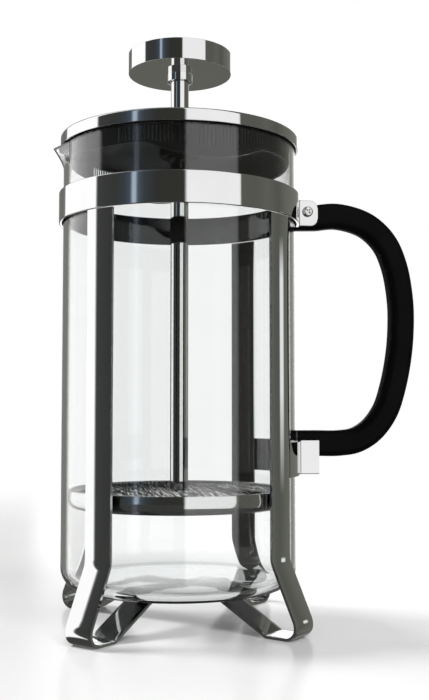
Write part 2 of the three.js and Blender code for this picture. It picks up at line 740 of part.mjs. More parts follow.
add('frame_band', frameBand(), chrome());
add('leg_strip_upper', legStrip(-45, UPPER_CROSSING_Z), chrome());
add('leg_strip_lower', legStrip(45, LOWER_CROSSING_Z), chrome());
add('base_rivet', baseRivet(), chrome());
add('lower_strap_near', lowerStrap(-1), chrome());
add('lower_strap_far', lowerStrap(1), chrome());
add('handle', handle(), black());
add('handle_screw', handleScrew(), steel());
add('handle_nut', handleNut(), steel());
add('glass_beaker', glassBeaker(), glass());
add('lid_cover', lidCover(), chrome());
add('lid_strainer', lidStrainer(), blackGloss(), LID_TURN);
add('lid_bush', lidBush(), chrome());
add('lid_bush_nut', lidBushNut(), steel());
add('plunger_rod', plungerRod(), chrome());
add('knob', knob(), chrome());
add('knob_nut', knobNut(), chrome());
add('filter_pan', filterPan(), chrome());
add('filter_hub', filterHub(), steel());
add('filter_plate', filterPlate(), steel());
add('filter_mesh', filterMesh(), steel());
add('filter_spring', filterSpring(), steel());
add('filter_nut', filterNut(), steel());

export default press;
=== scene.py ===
import math

import bmesh
import bpy
from mathutils import Matrix, Vector


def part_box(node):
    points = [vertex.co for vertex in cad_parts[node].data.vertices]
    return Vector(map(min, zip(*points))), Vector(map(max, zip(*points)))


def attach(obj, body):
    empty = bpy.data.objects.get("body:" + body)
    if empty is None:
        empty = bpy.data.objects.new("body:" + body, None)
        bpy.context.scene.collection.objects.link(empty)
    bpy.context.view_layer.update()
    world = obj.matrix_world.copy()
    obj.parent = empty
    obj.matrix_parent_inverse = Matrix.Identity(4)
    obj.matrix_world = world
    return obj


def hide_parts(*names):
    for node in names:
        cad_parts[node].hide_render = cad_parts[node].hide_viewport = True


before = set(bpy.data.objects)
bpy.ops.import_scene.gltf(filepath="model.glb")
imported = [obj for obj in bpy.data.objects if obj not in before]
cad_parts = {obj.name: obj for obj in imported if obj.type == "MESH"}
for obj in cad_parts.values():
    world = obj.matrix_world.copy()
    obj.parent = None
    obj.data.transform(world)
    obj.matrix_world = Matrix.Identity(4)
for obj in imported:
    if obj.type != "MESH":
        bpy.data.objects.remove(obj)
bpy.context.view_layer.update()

MM = 0.001
AXIS_X = sum(corner.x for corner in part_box("knob")) / 2


def extent(node):
    """Lowest and highest corner of a CAD node, in millimetres from the beaker's axis."""
    axis = Vector((AXIS_X, 0, 0))
    low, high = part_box(node)
    return (low - axis) / MM, (high - axis) / MM


# ---- sizes ------------------------------------------------------------------------------------
GAP = 0.3

BEAKER_LOW, BEAKER_HIGH = extent("glass_beaker")
BEAKER_R = BEAKER_HIGH.y
BEAKER_Z = BEAKER_LOW.z
RIM_Z = BEAKER_HIGH.z
GLASS_WALL = 2.0
GLASS_FLOOR = 2.4
GLASS_CORNER_R = 8.5
GLASS_RIM_R = 0.25
LIP_TIP = -BEAKER_LOW.x + 0.71  # the rounding takes this much back off the tip
LIP_DROP = 7.5
LIP_HALF_ANGLE = 16.0
LIP_TIP_ROUND = 1.3  # degrees of rim that the rounded tip takes

SHEET_T = 1.2
SHEET_EDGE_R = 0.4
LEG_EDGE_R = 0.08
FRAME_IN = BEAKER_R + 0.6
FRAME_MID = FRAME_IN + SHEET_T / 2
FRAME_OUT = FRAME_IN + SHEET_T
BAND_LOW, BAND_HIGH = extent("frame_band")
EAR_END_X = BAND_HIGH.x
EAR_BEND_R = 1.8
EAR_CORNER_R = 3.2
EAR_INSET = 0.75  # ear edge to band edge
STRAP_LOW, STRAP_HIGH = extent("lower_strap_near")
LEG_W = 12.5
LEG_ANGLE = 45.0
FOOT_SPLAY = 24.7
FOOT_BEND_Z = 28.5
FOOT_BEND_R = 9.0
TOE_R = 5.5
FOOT_FLAT = 3.2
ARM_SLOPE = 28.6
ARM_BEND_R = 3.0
UPPER_CROSSING_Z = BEAKER_Z - GAP - SHEET_T / 2
LOWER_CROSSING_Z = UPPER_CROSSING_Z - SHEET_T - GAP

HANDLE_LOW, HANDLE_HIGH = extent("handle")
HANDLE_W = HANDLE_HIGH.y - HANDLE_LOW.y
HANDLE_H = 10.8
HANDLE_EDGE_R = 3.4
HANDLE_START = FRAME_IN + 0.6
HANDLE_REACH = HANDLE_HIGH.x - HANDLE_H / 2 - FRAME_OUT - 0.12
EAR_Y = HANDLE_W / 2 + GAP + SHEET_T / 2
TOP_ARM_Z = (BAND_LOW.z + BAND_HIGH.z) / 2 - 1.2
LOW_ARM_Z = STRAP_HIGH.z - 1.4
# Middle line of the handle: share of the reach, share of the drop from upper to lower arm.
HANDLE_LINE = [
    (0.174, -0.003), (0.391, -0.0126), (0.663, 0.0231), (0.843, 0.1008), (0.943, 0.2101),
    (0.996, 0.36), (1.0, 0.48), (0.976, 0.61), (0.915, 0.7532), (0.835, 0.8613),
    (0.704, 0.9433), (0.552, 0.9874), (0.391, 1.0), (0.174, 1.0),
]
SCREW_LOW, SCREW_HIGH = extent("handle_screw")
SCREW_X = (SCREW_LOW.x + SCREW_HIGH.x) / 2
SCREW_Z = (SCREW_LOW.z + SCREW_HIGH.z) / 2
SCREW_R = 1.4
SCREW_HEAD_R = (SCREW_HIGH.x - SCREW_LOW.x) / 2

LID_LOW, LID_HIGH = extent("lid_cover")
LID_R = LID_HIGH.y
LID_SHEET = 0.8
LID_RIM_H = 4.8
LID_EDGE_R = 0.9
STRAINER_HIGH = extent("lid_strainer")[1]
STRAINER_T = 1.5
FLANGE_Z = RIM_Z + GAP
SKIRT_R = BEAKER_R - GLASS_WALL - 0.4
SKIRT_DEPTH = 6.8
SKIRT_LOBE = 5.7
LOBE_START = 0.866
LOBE_CURVE = 1.05
LID_TURN = 6.8
SLOTS_PER_SIDE = 47
SLOT_PITCH = 1.9
SLOT_W = 0.8
SLOT_TOP_MARGIN = 0.8
SLOT_H = 5.2
SLOT_EXTRA_H = 3.0

ROD_LOW, ROD_HIGH = extent("plunger_rod")
ROD_R = ROD_HIGH.y
ROD_HOLE_R = ROD_R + GAP
ROD_THREAD_R = ROD_R * 0.64
BUSH_LOW, BUSH_HIGH = extent("lid_bush")
BUSH_R = ROD_HOLE_R + 1.15
BUSH_FLANGE_R = BUSH_HIGH.y
BUSH_FLANGE_T = 1.2
KNOB_LOW, KNOB_HIGH = extent("knob")
KNOB_R = KNOB_HIGH.y
KNOB_EDGE_R = 0.18
KNOB_BORE_DEPTH = 5.0

PAN_LOW, PAN_HIGH = extent("filter_pan")
PAN_R = PAN_HIGH.y
PAN_SHEET = 0.8
PAN_CORNER_R = 3.6
PAN_BULGE = 0.35  # rim and foot stand this far inside the crease round the wall
PAN_CREASE = 0.6  # share of the height
PAN_HOLES = [(8, 0.12, 0.73), (4, 0.1, 0.38)]
COIL_R = 1.6
COIL_WIRE_R = 0.33
COIL_TURNS = 150
COIL_RING_R = PAN_R - PAN_SHEET - GAP - COIL_R
MESH_LOW, MESH_HIGH = extent("filter_mesh")
MESH_R = MESH_HIGH.y
MESH_PITCH = 1.15
MESH_WIRE_R = 0.11


# ---- mesh building ----------------------------------------------------------------------------
def fillet(corners, steps=4, closed=False):
    """Rounds the corners of a flat line. A corner is (x, y) or (x, y, radius)."""
    out = []
    count = len(corners)
    for i, corner in enumerate(corners):
        p = Vector(corner[:2])
        at_end = not closed and i in (0, count - 1)
        if len(corner) < 3 or corner[2] == 0 or at_end:
            out.append((p.x, p.y))
            continue
        radius = corner[2]
        a = (Vector(corners[i - 1][:2]) - p).normalized()
        b = (Vector(corners[(i + 1) % count][:2]) - p).normalized()
        half = a.angle(b) / 2
        centre = p + (a + b).normalized() * (radius / math.sin(half))
        start = p + a * (radius / math.tan(half)) - centre
        end = p + b * (radius / math.tan(half)) - centre
        first = math.atan2(start.y, start.x)
        turn = math.atan2(end.y, end.x) - first
        turn -= 2 * math.pi * round(turn / (2 * math.pi))
        for k in range(steps + 1):
            angle = first + turn * k / steps
            out.append((centre.x + radius * math.cos(angle), centre.y + radius * math.sin(angle)))
    return out


def arc(radius, start, end, steps):
    """Points round the axis, angles in degrees."""
    turn = [math.radians(start + (end - start) * k / steps) for k in range(steps + 1)]
    return [(radius * math.cos(a), radius * math.sin(a)) for a in turn]


def divided(path, longest):
    """The same flat line, with no segment longer than that."""
    out = [path[0]]
    for a, b in zip(path, path[1:]):
        parts = max(1, math.ceil(math.dist(a, b) / longest))
        for k in range(1, parts + 1):
            out.append((a[0] + (b[0] - a[0]) * k / parts, a[1] + (b[1] - a[1]) * k / parts))
    return out


def normals(path):
    """Unit vectors to the left of a flat line, one for each point."""
    out = []
    for i in range(len(path)):
        before = Vector(path[max(i - 1, 0)])
        after = Vector(path[min(i + 1, len(path) - 1)])
        along = (after - before).normalized()
        out.append(Vector((-along.y, along.x)))
    return out


def rounded_box(width, height, radius, steps=3):
    w, h = width / 2, height / 2
    corners = [(-w, -h, radius), (w, -h, radius), (w, h, radius), (-w, h, radius)]
    return fillet(corners, steps, closed=True)


def loft(loops, round_trip=False, capped=True, open_loops=False):
    """Joins a row of point loops, equal in number of points, into (points, faces)."""
    points = [p for loop in loops for p in loop]
    n = len(loops[0])
    faces = []
    rows = len(loops) if round_trip else len(loops) - 1
    for i in range(rows):
        a, b = i * n, (i + 1) % len(loops) * n
        for j in range(n - 1 if open_loops else n):
            k = (j + 1) % n
            faces.append((a + j, a + k, b + k, b + j))
    if capped and not round_trip:
        faces.append(tuple(reversed(range(n))))
        faces.append(tuple(range((len(loops) - 1) * n, len(loops) * n)))
    return points, faces


def joined(*shapes):
    points, faces = [], []
    for shape_points, shape_faces in shapes:
        first = len(points)
        points += shape_points
        faces += [tuple(first + i for i in face) for face in shape_faces]
    return points, faces


def turned(profile, steps=160):
    """A closed flat profile of (radius, z) turned about the axis."""
    loops = []
    for k in range(steps):
        a = 2 * math.pi * k / steps
        loops.append([(r * math.cos(a), r * math.sin(a), z) for r, z in profile])
    open_loops = profile[0][0] == 0 and profile[-1][0] == 0
    return loft(loops, round_trip=True, open_loops=open_loops)


def tube(path, radius, sides, closed=False):
    """A wire of round section along a line in space."""
    loops = []
    count = len(path)
    for i in range(count):
        before = path[i - 1] if closed or i > 0 else path[0]
        after = path[(i + 1) % count] if closed or i < count - 1 else path[-1]
        along = (Vector(after) - Vector(before)).normalized()
        side = along.cross(Vector((0, 0, 1)))
        if side.length < 0.01:
            side = Vector((1, 0, 0))
        side.normalize()
        up = side.cross(along)
        loop = []
        for k in range(sides):
            a = 2 * math.pi * k / sides
            point = Vector(path[i]) + side * radius * math.cos(a) + up * radius * math.sin(a)
            loop.append(tuple(point))
        loops.append(loop)
    return loft(loops, round_trip=closed)


def place(point):
    return Vector((point[0] * MM + AXIS_X, point[1] * MM, point[2] * MM))


def mesh_object(name, shape, sharp=38.0):
    points, faces = shape
    mesh = bpy.data.meshes.new(name)
    mesh.from_pydata([place(p) for p in points], [], faces)
    bm = bmesh.new()
    bm.from_mesh(mesh)
    bmesh.ops.remove_doubles(bm, verts=bm.verts, dist=1e-6)
    bmesh.ops.recalc_face_normals(bm, faces=bm.faces)
    bm.to_mesh(mesh)
    bm.free()
    mesh.shade_smooth()
    mesh.set_sharp_from_angle(angle=math.radians(sharp))
    obj = bpy.data.objects.new(name, mesh)
    bpy.context.scene.collection.objects.link(obj)
    return obj


def cut(obj, *cutters):
    """Takes the cutters out of the object and removes them."""
    for cutter in cutters:
        step = obj.modifiers.new("cut", "BOOLEAN")
        step.object = cutter
        step.solver = "EXACT"
    graph = bpy.context.evaluated_depsgraph_get()
    mesh = bpy.data.meshes.new_from_object(obj.evaluated_get(graph))
    obj.modifiers.clear()
    obj.data = mesh
    mesh.shade_smooth()
    mesh.set_sharp_from_angle(angle=math.radians(38))
    for cutter in cutters:
        bpy.data.objects.remove(cutter)


def finish_piece(obj, body, node, material):
    """Gives a piece its material and its body, and hides the CAD node that it stands for."""
    obj.data.materials.clear()
    obj.data.materials.append(material)
    even = obj.modifiers.new("even_normals", "WEIGHTED_NORMAL")
    even.keep_sharp = True
    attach(obj, body)
    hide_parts(node)


# ---- frame ------------------------------------------------------------------------------------
def standing_sheet(path, heights, thickness):
    """Sheet that stands on edge along a plan path; heights holds its (lower, upper) edges."""
    loops = []
    for point, normal, (low, high) in zip(path, normals(path), heights):
        section = rounded_box(thickness, high - low, SHEET_EDGE_R)
        middle = (low + high) / 2
        x, y = point
        loops.append([(x + normal.x * u, y + normal.y * u, middle + v) for u, v in section])
    return loft(loops)


def ear_bend():
    """Where an ear leaves the ring: the bend's middle in X, and the ring's angle in degrees."""
    bend_x = math.sqrt(FRAME_MID**2 - (EAR_Y + EAR_BEND_R) ** 2)
    return bend_x, math.degrees(math.atan2(EAR_Y + EAR_BEND_R, bend_x))


def ear_path(start_angle, steps, side=1):
    """Plan path from an angle round the ring to the end of an ear."""
    bend_x, end_angle = ear_bend()
    ring = arc(FRAME_MID, start_angle, end_angle, steps)
    centre = (bend_x + EAR_BEND_R, EAR_Y + EAR_BEND_R)
    bend = [(centre[0] + x, centre[1] + y) for x, y in arc(EAR_BEND_R, 180, 270, 8)]
    straight = divided([bend[-1], (EAR_END_X, EAR_Y)], 0.4)
    return [(x, side * y) for x, y in ring + bend[1:] + straight[1:]]


def band_shape():
    half = ear_path(180, 110)
    path = [(x, -y) for x, y in reversed(half[1:])] + half
    bend_x = ear_bend()[0]
    heights = []
    for x, y in path:
        inset = 0
        into = x - (EAR_END_X - EAR_CORNER_R)
        if abs(y) < EAR_Y + EAR_BEND_R and x > bend_x:
            inset = EAR_INSET * min((x - bend_x) / EAR_BEND_R, 1)
        if into > 0 and abs(y) < EAR_Y + 0.1:
            inset += EAR_CORNER_R - math.sqrt(max(EAR_CORNER_R**2 - into**2, 0))
        heights.append((BAND_LOW.z + inset, BAND_HIGH.z - inset))
    return standing_sheet(path, heights, SHEET_T)


def strap_shape(side):
    leg_edge = LEG_ANGLE - math.degrees((LEG_W / 2 + GAP) / FRAME_MID)
    path = ear_path(leg_edge, 30, side)
    return standing_sheet(path, [(STRAP_LOW.z, STRAP_HIGH.z)] * len(path), SHEET_T)


def leg_pair_shape(direction, crossing_z):
    """One strip: down a leg, round its foot, under the beaker and up the opposite leg."""
    half = SHEET_T / 2
    arm_start = FRAME_MID - FOOT_FLAT
    arm_top = arm_start - (crossing_z - half) / math.tan(math.radians(ARM_SLOPE))
    toe = FRAME_MID + (FOOT_BEND_Z - half) * math.tan(math.radians(FOOT_SPLAY))
    side = [
        (FRAME_MID, BAND_LOW.z - GAP, 0),
        (FRAME_MID, FOOT_BEND_Z, FOOT_BEND_R),
        (toe, half, TOE_R - half),
        (arm_start, half, ARM_BEND_R),
        (arm_top, crossing_z, ARM_BEND_R),
    ]
    corners = side + [(-r, z, bend) for r, z, bend in reversed(side)]
    path = divided(fillet(corners, 10), 2.5)
    section = []
    for k in range(17):
        section.append((LEG_W * (k / 16 - 0.5), 1))
    for k in range(17):
        section.append((LEG_W * (0.5 - k / 16), -1))
    angle = math.radians(direction)
    out = Vector((math.cos(angle), math.sin(angle)))
    across = Vector((-math.sin(angle), math.cos(angle)))
    loops = []
    for (r, z), normal in zip(path, normals(path)):
        sign = 1 if r > 0 else -1
        curved = min(max((z - TOE_R / 3) / TOE_R, 0), 1) if abs(r) > arm_start else 0
        curved = curved * curved * (3 - 2 * curved)
        loop = []
        for u, face in section:
            edge = max(abs(u) - (LEG_W / 2 - LEG_EDGE_R), 0)
            t = face * (half - LEG_EDGE_R + math.sqrt(max(LEG_EDGE_R**2 - edge**2, 0)))
            bow = curved * (FRAME_MID - math.sqrt(FRAME_MID**2 - u**2))
            radial = r + normal.x * t - sign * bow
            xy = out * radial + across * u
            loop.append((xy.x, xy.y, z + normal.y * t))
        loops.append(loop)
    return loft(loops)


def rivet_shape():
    low, high = extent("base_rivet")
    head_r, shank_r = high.y, 2.5
    seat = LOWER_CROSSING_Z - SHEET_T / 2 - GAP
    profile = [
        (0, low.z), (head_r, low.z, 0.7), (head_r, seat, 0.2),
        (shank_r, seat), (shank_r, high.z, 0.3), (0, high.z),
    ]
    return turned(fillet(profile), 48)


# ---- handle -----------------------------------------------------------------------------------
def smooth_line(points, per_span):
    """Centripetal Catmull-Rom curve through flat points."""
    pts = [Vector(p) for p in points]
    pts = [pts[0] * 2 - pts[1]] + pts + [pts[-1] * 2 - pts[-2]]
    out = [tuple(pts[1])]
    for p0, p1, p2, p3 in zip(pts, pts[1:], pts[2:], pts[3:]):
        t1 = (p1 - p0).length ** 0.5
        t2 = t1 + (p2 - p1).length ** 0.5
        t3 = t2 + (p3 - p2).length ** 0.5
        for k in range(1, per_span + 1):
            t = t1 + (t2 - t1) * k / per_span
            a1 = p0 * ((t1 - t) / t1) + p1 * (t / t1)
            a2 = p1 * ((t2 - t) / (t2 - t1)) + p2 * ((t - t1) / (t2 - t1))
            a3 = p2 * ((t3 - t) / (t3 - t2)) + p3 * ((t - t2) / (t3 - t2))
            b1 = a1 * ((t2 - t) / t2) + a2 * (t / t2)
            b2 = a2 * ((t3 - t) / (t3 - t1)) + a3 * ((t - t1) / (t3 - t1))
            out.append(tuple(b1 * ((t2 - t) / (t2 - t1)) + b2 * ((t - t1) / (t2 - t1))))
    return out


def handle_shape():
    span = TOP_ARM_Z - LOW_ARM_Z
    line = [(FRAME_OUT + HANDLE_REACH * a, TOP_ARM_Z - span * b) for a, b in HANDLE_LINE]
    path = [(HANDLE_START, TOP_ARM_Z)] + smooth_line(line, 8) + [(HANDLE_START, LOW_ARM_Z)]
    path = divided(path, 2.0)
    section = rounded_box(HANDLE_W, HANDLE_H, HANDLE_EDGE_R, 7)
    loops = []
    for point, normal in zip(path, normals(path)):
        loops.append([(point[0] + normal.x * v, u, point[1] + normal.y * v) for u, v in section])
    return loft(loops)


def along_y(shape):
    """Stands a piece made along Z along Y at the screw's place."""
    points, faces = shape
    return [(SCREW_X + x, z, SCREW_Z - y) for x, y, z in points], faces


def screw_shape():
    start, end = SCREW_LOW.y, SCREW_HIGH.y
    seat = -(EAR_Y + SHEET_T / 2 + GAP)
    profile = [
        (0, start), (SCREW_HEAD_R, start, 0.95), (SCREW_HEAD_R, seat, 0.1),
        (SCREW_R, seat), (SCREW_R, end, 0.25), (0, end),
    ]
    return along_y(turned(fillet(profile, 5), 48))


def recess_shape(angle):
    """One arm of the cross cut in the screw's head."""
    long, wide, deep = 3.2, 0.8, 0.95
    start = SCREW_LOW.y
    c, s = math.cos(math.radians(angle)), math.sin(math.radians(angle))
    loops = []
    for z, share in ((start - 1, 1.0), (start + deep, 0.55)):
        corners = [(-long, -wide), (long, -wide), (long, wide), (-long, wide)]
        half = share / 2
        loops.append([((x * c - y * s) * half, (x * s + y * c) * half, z) for x, y in corners])
    return along_y(loft(loops))


def nut_shape(flats, low, high, bore):
    """Hexagonal nut along Z, its corners taken down by a chamfer at both ends."""
    steps = 120
    flat_r = flats / 2
    loops = []
    for k in range(steps):
        degrees = 360 * k / steps
        a = math.radians(degrees)
        corner_r = flat_r / math.cos(math.radians((degrees + 30) % 60 - 30))
        drop = (corner_r - flat_r) * 0.62 + 0.06
        shape = [
            (bore, low + 0.15), (bore + 0.15, low), (flat_r - 0.12, low), (corner_r, low + drop),
            (corner_r, high - drop), (flat_r - 0.12, high), (bore + 0.15, high),
            (bore, high - 0.15),
        ]
        loops.append([(r * math.cos(a), r * math.sin(a), z) for r, z in shape])
    return loft(loops, round_trip=True)


# ---- beaker -----------------------------------------------------------------------------------
def lip_reach(degrees_off, radius, tip):
    """How far the wall stands out of its circle, that many degrees from the lip's middle."""
    soft = math.sqrt(degrees_off**2 + LIP_TIP_ROUND**2)
    if soft >= LIP_HALF_ANGLE:
        return 0
    half = math.radians(LIP_HALF_ANGLE)
    root = Vector((radius * math.cos(half), radius * math.sin(half)))
    along = root - Vector((tip, 0))
    normal = Vector((-along.y, along.x)).normalized()
    a = math.radians(soft)
    line_r = normal.dot(root) / normal.dot(Vector((math.cos(a), math.sin(a))))
    return max(line_r - radius, 0)


def beaker_shape():
    inner_corner = GLASS_CORNER_R - GLASS_WALL
    inner_r = BEAKER_R - GLASS_WALL
    profile = fillet(
        [
            (0, BEAKER_Z), (BEAKER_R, BEAKER_Z, GLASS_CORNER_R), (BEAKER_R, RIM_Z, GLASS_RIM_R),
            (inner_r, RIM_Z, GLASS_RIM_R), (inner_r, BEAKER_Z + GLASS_FLOOR, inner_corner),
            (0, BEAKER_Z + GLASS_FLOOR),
        ],
        8,
    )
    profile = divided(profile[:10], 60) + divided(profile[9:], 1.5)
    angles = []
    a = -180.0
    while a < 180:
        angles.append(a)
        a += 0.5 if abs(a) < LIP_HALF_ANGLE + 2 else 2.0
    loops = []
    for off in angles:
        direction = math.radians(180 + off)
        out = lip_reach(off, BEAKER_R, LIP_TIP)
        loop = []
        for r, z in profile:
            rise = min(max((z - (RIM_Z - LIP_DROP)) / LIP_DROP, 0), 1)
            reach = r + out * (0.25 * rise**2 + 0.75 * rise) if r > inner_r - 0.01 else r
            loop.append((reach * math.cos(direction), reach * math.sin(direction), z))
        loops.append(loop)
    return loft(loops, round_trip=True, open_loops=True)


# ---- lid --------------------------------------------------------------------------------------
def lid_shape():
    top = LID_LOW.z + LID_RIM_H
    inner = BUSH_R + GAP
    middle = LID_HIGH.z
    t = LID_SHEET
    shares = [0.955, 0.9, 0.8, 0.68, 0.55, 0.42, 0.3]
    rise = middle - top

    def dome(r):
        return top + rise * (1 - (r / LID_R) ** 2)

    over = [(LID_R * k, dome(LID_R * k)) for k in shares]
    under = [(r, z - t) for r, z in reversed(over)]
    profile = [
        (LID_R - t, LID_LOW.z, 0.15), (LID_R, LID_LOW.z, 0.15), (LID_R, top, LID_EDGE_R), *over,
        (inner, middle, 0.2), (inner, middle - t, 0.2), *under, (LID_R - t, top - t, 0.5),
    ]
    return turned(fillet(profile, 5, closed=True), 192)


def lobe_share(off):
    """Share of a lobe's full depth, that many degrees from the middle of its row of slots."""
    k = (abs(math.cos(math.radians(off))) - LOBE_START) / (1 - LOBE_START)
    return max(k, 0) ** LOBE_CURVE


def inner_angle(off, edge_off):
    """Where the skirt's inside meets the side of a slot that is cut square to its row."""
    ratio = SKIRT_R / (SKIRT_R - STRAINER_T)
    sign = 1 if off >= 0 else -1
    off = abs(off)
    cut = math.degrees(math.asin(ratio * math.sin(math.radians(min(off, edge_off)))))
    if off > edge_off:
        cut = cut + (90 - cut) * (off - edge_off) / (90 - edge_off)
    return sign * cut


def skirt_shape():
    """Wall of the strainer inside the glass, as a plan of columns with the slots left open."""
    middle = (SLOTS_PER_SIDE - 1) / 2
    top = FLANGE_Z - SLOT_TOP_MARGIN
    half_row = middle * SLOT_PITCH + 1
    columns = []
    for side in (90, 270):
        for i in range(SLOTS_PER_SIDE):
            off = (i - middle) * SLOT_PITCH
            half_slot = math.degrees(SLOT_W / 2 / SKIRT_R)
            low = top - SLOT_H - SLOT_EXTRA_H * lobe_share(off)
            columns.append((side, off - half_slot, low, True))
            columns.append((side, off + half_slot, low, False))
        parts = 24
        for k in range(parts):
            off = half_row + (90 - half_row) * k / parts
            columns.append((side, off, top - SLOT_H, False))
        for k in range(parts, 0, -1):
            off = half_row + (90 - half_row) * k / parts
            columns.append((side + 180, -off, top - SLOT_H, False))
    points, faces = [], []
    for side, off, low, _ in columns:
        edge = FLANGE_Z - SKIRT_DEPTH - SKIRT_LOBE * lobe_share(off)
        for radius, turn in ((SKIRT_R, off), (SKIRT_R - STRAINER_T, inner_angle(off, half_row))):
            a = math.radians(side + turn)
            for z in (edge, low, top, FLANGE_Z + 0.4):
                points.append((radius * math.cos(a), radius * math.sin(a), z))
    count = len(columns)
    for i, (_, _, _, is_slot) in enumerate(columns):
        a, b = i * 8, (i + 1) % count * 8
        for row in range(3):
            outer = (a + row, b + row, b + row + 1, a + row + 1)
            inner = tuple(index + 4 for index in reversed(outer))
            if not (is_slot and row == 1):
                faces.extend((outer, inner))
        faces.append((a + 4, b + 4, b, a))
        faces.append((a + 3, b + 3, b + 7, a + 7))
        if is_slot:
            faces.append((a + 1, b + 1, b + 5, a + 5))
            faces.append((a + 6, b + 6, b + 2, a + 2))
            faces.append((a + 2, a + 1, a + 5, a + 6))
            faces.append((b + 1, b + 2, b + 6, b + 5))
    return points, faces


def flange_shape():
    lip_top = STRAINER_HIGH.z
    outer = BEAKER_R - 0.1
    t = STRAINER_T
    inner = BUSH_R + GAP
    profile = [
        (inner, FLANGE_Z), (outer, FLANGE_Z, 0.3), (outer, lip_top, 0.3), (outer - t, lip_top, 0.3),
        (outer - t, FLANGE_Z + t, 0.5), (inner, FLANGE_Z + t),
    ]
    return turned(fillet(profile, 4, closed=True), 192)


def spun(shape, degrees):
    """The shape turned about the axis."""
    points, faces = shape
    c, s = math.cos(math.radians(degrees)), math.sin(math.radians(degrees))
    return [(x * c - y * s, x * s + y * c, z) for x, y, z in points], faces


def bush_shape():
    seat = BUSH_HIGH.z - BUSH_FLANGE_T
    profile = [
        (ROD_HOLE_R, BUSH_LOW.z, 0.2), (BUSH_R, BUSH_LOW.z, 0.3), (BUSH_R, seat),
        (BUSH_FLANGE_R, seat, 0.15), (BUSH_FLANGE_R, BUSH_HIGH.z, 0.55),
        (ROD_HOLE_R, BUSH_HIGH.z, 0.3),
    ]
    return turned(fillet(profile, 5, closed=True), 72)


def bush_nut_shape():
    low, high = extent("lid_bush_nut")
    inner = BUSH_R + GAP
    profile = [
        (inner, low.z, 0.2), (high.y, low.z, 0.4), (high.y, high.z, 0.2), (inner, high.z, 0.2),
    ]
    return turned(fillet(profile, 4, closed=True), 72)


# ---- plunger ----------------------------------------------------------------------------------
def rod_shape():
    shoulder = MESH_HIGH.z + GAP
    profile = [
        (0, ROD_LOW.z), (ROD_THREAD_R, ROD_LOW.z, 0.4), (ROD_THREAD_R, shoulder),
        (ROD_R, shoulder, 0.3), (ROD_R, ROD_HIGH.z, 0.3), (0, ROD_HIGH.z),
    ]
    return turned(fillet(profile, 4), 64)


def knob_shape():
    low, high = KNOB_LOW.z, KNOB_HIGH.z
    profile = [
        (0, low + KNOB_BORE_DEPTH), (ROD_HOLE_R, low + KNOB_BORE_DEPTH), (ROD_HOLE_R, low, 0.3),
        (KNOB_R, low, KNOB_EDGE_R), (KNOB_R, high, KNOB_EDGE_R), (0, high),
    ]
    return turned(fillet(profile, 5), 160)


def collar_shape():
    low, high = extent("knob_nut")
    bore, top = ROD_HOLE_R, KNOB_LOW.z - 0.02
    profile = [(bore, low.z, 0.05), (high.y, low.z, 0.08), (high.y, top), (bore, top)]
    return turned(fillet(profile, 4, closed=True), 72)


# ---- filter -----------------------------------------------------------------------------------
def pan_shape():
    low, high = PAN_LOW.z, PAN_HIGH.z
    crease = low + (high - low) * PAN_CREASE
    t = PAN_SHEET
    bore = ROD_THREAD_R + GAP
    profile = [
        (bore, low), (PAN_R - PAN_BULGE, low, PAN_CORNER_R), (PAN_R, crease, 0.5),
        (PAN_R - PAN_BULGE, high, 0.3), (PAN_R - PAN_BULGE - t, high, 0.3),
        (PAN_R - t, crease, 0.5),
        (PAN_R - PAN_BULGE - t, low + t, PAN_CORNER_R - t), (bore, low + t),
    ]
    return turned(fillet(profile, 6, closed=True), 176)


def pan_holes():
    holes = []
    for count, hole_share, circle_share in PAN_HOLES:
        for i in range(count):
            a = 2 * math.pi * i / count
            x, y = PAN_R * circle_share * math.cos(a), PAN_R * circle_share * math.sin(a)
            r = PAN_R * hole_share
            low = [(x + px, y + py, PAN_LOW.z - 1) for px, py in arc(r, 0, 350, 35)]
            holes.append(loft([low, [(px, py, PAN_LOW.z + 2) for px, py, _ in low]]))
    return joined(*holes)


def coil_shape():
    """Wire wound in a ring inside the pan's rim."""
    per_turn = 12
    steps = COIL_TURNS * per_turn
    winding = COIL_R - COIL_WIRE_R - 0.02
    middle = PAN_HIGH.z - COIL_R
    path = []
    for i in range(steps):
        a = 2 * math.pi * i / steps
        b = 2 * math.pi * i / per_turn
        r = COIL_RING_R + winding * math.cos(b)
        path.append((r * math.cos(a), r * math.sin(a), middle + winding * math.sin(b)))
    return tube(path, COIL_WIRE_R, 6, closed=True)


def weave_shape():
    """Wires in two directions, each going over and under the others in turn."""
    middle = (MESH_LOW.z + MESH_HIGH.z) / 2
    lift = MESH_WIRE_R * 0.75
    reach = MESH_R - MESH_WIRE_R
    count = int(reach / MESH_PITCH)
    wires = []
    for line in range(-count, count + 1):
        across = line * MESH_PITCH
        length = math.sqrt(max(reach**2 - across**2, 0))
        crossings = int(length / MESH_PITCH)
        for direction in (0, 1):
            path = []
            for k in range(-crossings, crossings + 1):
                up = lift if (line + k + direction) % 2 else -lift
                along = k * MESH_PITCH
                xy = (along, across) if direction else (across, along)
                if math.hypot(*xy) > ROD_THREAD_R + GAP + MESH_PITCH:
                    path.append((*xy, middle + up))
                elif len(path) > 1:
                    wires.append(tube(path, MESH_WIRE_R, 5))
                    path = []
                else:
                    path = []
            if len(path) > 1:
                wires.append(tube(path, MESH_WIRE_R, 5))
    return joined(*wires)


# ---- materials --------------------------------------------------------------------------------
def new_material(name):
    material = bpy.data.materials.new(name)
    material.use_nodes = True
    tree = material.node_tree
    return material, tree, tree.nodes["Principled BSDF"]


